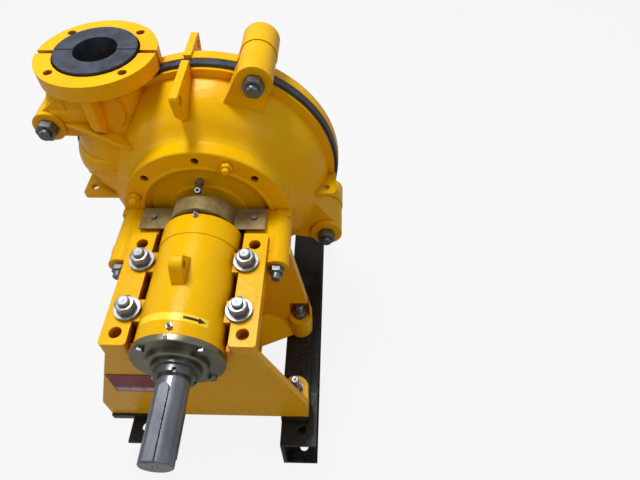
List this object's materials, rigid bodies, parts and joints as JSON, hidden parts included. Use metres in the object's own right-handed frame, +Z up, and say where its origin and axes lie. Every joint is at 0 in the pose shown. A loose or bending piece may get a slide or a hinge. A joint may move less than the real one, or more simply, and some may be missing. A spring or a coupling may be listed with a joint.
{
  "type": "rubber-lined slurry pump",
  "caption": "Horizontal rubber-lined centrifugal slurry pump with split casing, top discharge, bearing barrel clamped on a cast pedestal, standing on two steel rails.",
  "frame": {"origin": "centre of the free end face of the pump shaft, on the shaft axis", "axes": "+X to the right seen from the drive end, +Y along the shaft from the drive end to the suction flange, +Z up toward the discharge flange"},
  "size_m": [0.699, 1.021, 0.857],
  "materials": {
    "casting_paint": "glossy yellow enamel on cast iron",
    "black_paint": "gloss black paint on rolled steel",
    "dull_steel": "zinc-plated fasteners, dull",
    "dark_steel": "dark plated steel",
    "bright_zinc": "bright zinc plate",
    "lining_rubber": "moulded natural rubber, blue-black",
    "machined_iron": "machined cast iron, dark",
    "hard_iron": "hard white iron, as cast",
    "ground_steel": "turned and ground steel",
    "bearing_steel": "ground bearing steel",
    "brass_ring": "machined bronze",
    "packing_cord": "braided square packing",
    "guard_sheet": "brown-grey painted sheet",
    "red_plate": "dark red enamelled plate, blank",
    "shim_sheet": "thin shim sheet"
  },
  "bodies": {
    "pump": {"base_frame": "casting_paint", "sole_plates": "black_paint", "rail_left": "black_paint", "rail_right": "black_paint", "foot_bolts": "dull_steel", "foot_washers": "dull_steel", "foot_nuts": "dull_steel", "frame_plate": "casting_paint", "cover_plate": "casting_paint", "frame_plate_liner": "lining_rubber", "cover_plate_liner": "lining_rubber", "liner_insert": "lining_rubber", "throat_bush": "lining_rubber", "intake_joint": "lining_rubber", "stuffing_box": "casting_paint", "lantern_ring": "brass_ring", "packing_rings": "packing_cord", "gland_studs": "dull_steel", "casing_bolts": "dark_steel", "casing_nuts": "dark_steel", "frame_studs": "dull_steel", "frame_stud_nuts": "dull_steel", "liner_studs": "casting_paint", "liner_nuts": "casting_paint", "cover_studs": "casting_paint", "cover_nuts": "casting_paint", "clamp_studs": "bright_zinc", "clamp_washers": "bright_zinc", "clamp_nuts": "bright_zinc", "gland_guard": "guard_sheet", "guard_screws": "dull_steel", "water_nipple": "bright_zinc", "name_plate": "red_plate"},
    "packing_gland": {"gland": "machined_iron", "gland_nuts": "dull_steel"},
    "adjuster": {"adjusting_nut": "dull_steel"},
    "bearing_assembly": {"bearing_housing": "casting_paint", "end_cover_drive": "machined_iron", "end_cover_wet": "machined_iron", "cover_screws_drive": "dull_steel", "cover_screws_wet": "dull_steel", "cover_shims": "shim_sheet", "bearing_cup_drive": "bearing_steel", "bearing_cup_wet": "bearing_steel", "grease_nipples": "bright_zinc", "adjusting_screw": "dull_steel"},
    "rotor": {"shaft": "ground_steel", "shaft_key": "ground_steel", "impeller": "hard_iron", "shaft_sleeve": "ground_steel", "shaft_spacer": "machined_iron", "labyrinth_drive": "machined_iron", "labyrinth_wet": "machined_iron", "bearing_cone_drive": "bearing_steel", "bearing_cone_wet": "bearing_steel", "lock_nut": "machined_iron"},
    "rollers_drive": {"roller_set_drive": "bearing_steel"},
    "rollers_wet": {"roller_set_wet": "bearing_steel"}
  },
  "joints": [
    {"name": "impeller_adjust", "type": "slide", "parent": "pump", "child": "bearing_assembly", "axis": [0, 1, 0], "range_m": [-0.001, 0.0012]},
    {"name": "shaft_spin", "type": "hinge", "parent": "bearing_assembly", "child": "rotor", "pos_m": [0, 0.36, 0], "axis": [0, 1, 0], "continuous": true},
    {"name": "roller_cage_drive", "type": "hinge", "parent": "bearing_assembly", "child": "rollers_drive", "pos_m": [0, 0.26, 0], "axis": [0, 1, 0], "continuous": true},
    {"name": "roller_cage_wet", "type": "hinge", "parent": "bearing_assembly", "child": "rollers_wet", "pos_m": [0, 0.46, 0], "axis": [0, 1, 0], "continuous": true},
    {"name": "adjuster_turn", "type": "hinge", "parent": "pump", "child": "adjuster", "pos_m": [0, 0.372, -0.127], "axis": [0, 1, 0], "range_deg": [-125, 150]},
    {"name": "gland_adjust", "type": "slide", "parent": "pump", "child": "packing_gland", "axis": [0, 1, 0], "range_m": [-0.008, 0]}
  ],
  "couplings": [
    {"joint": "roller_cage_drive", "follows": "shaft_spin", "ratio": 0.43},
    {"joint": "roller_cage_wet", "follows": "shaft_spin", "ratio": 0.43},
    {"joint": "adjuster_turn", "follows": "impeller_adjust", "rad_per_m": 2094.4}
  ]
}
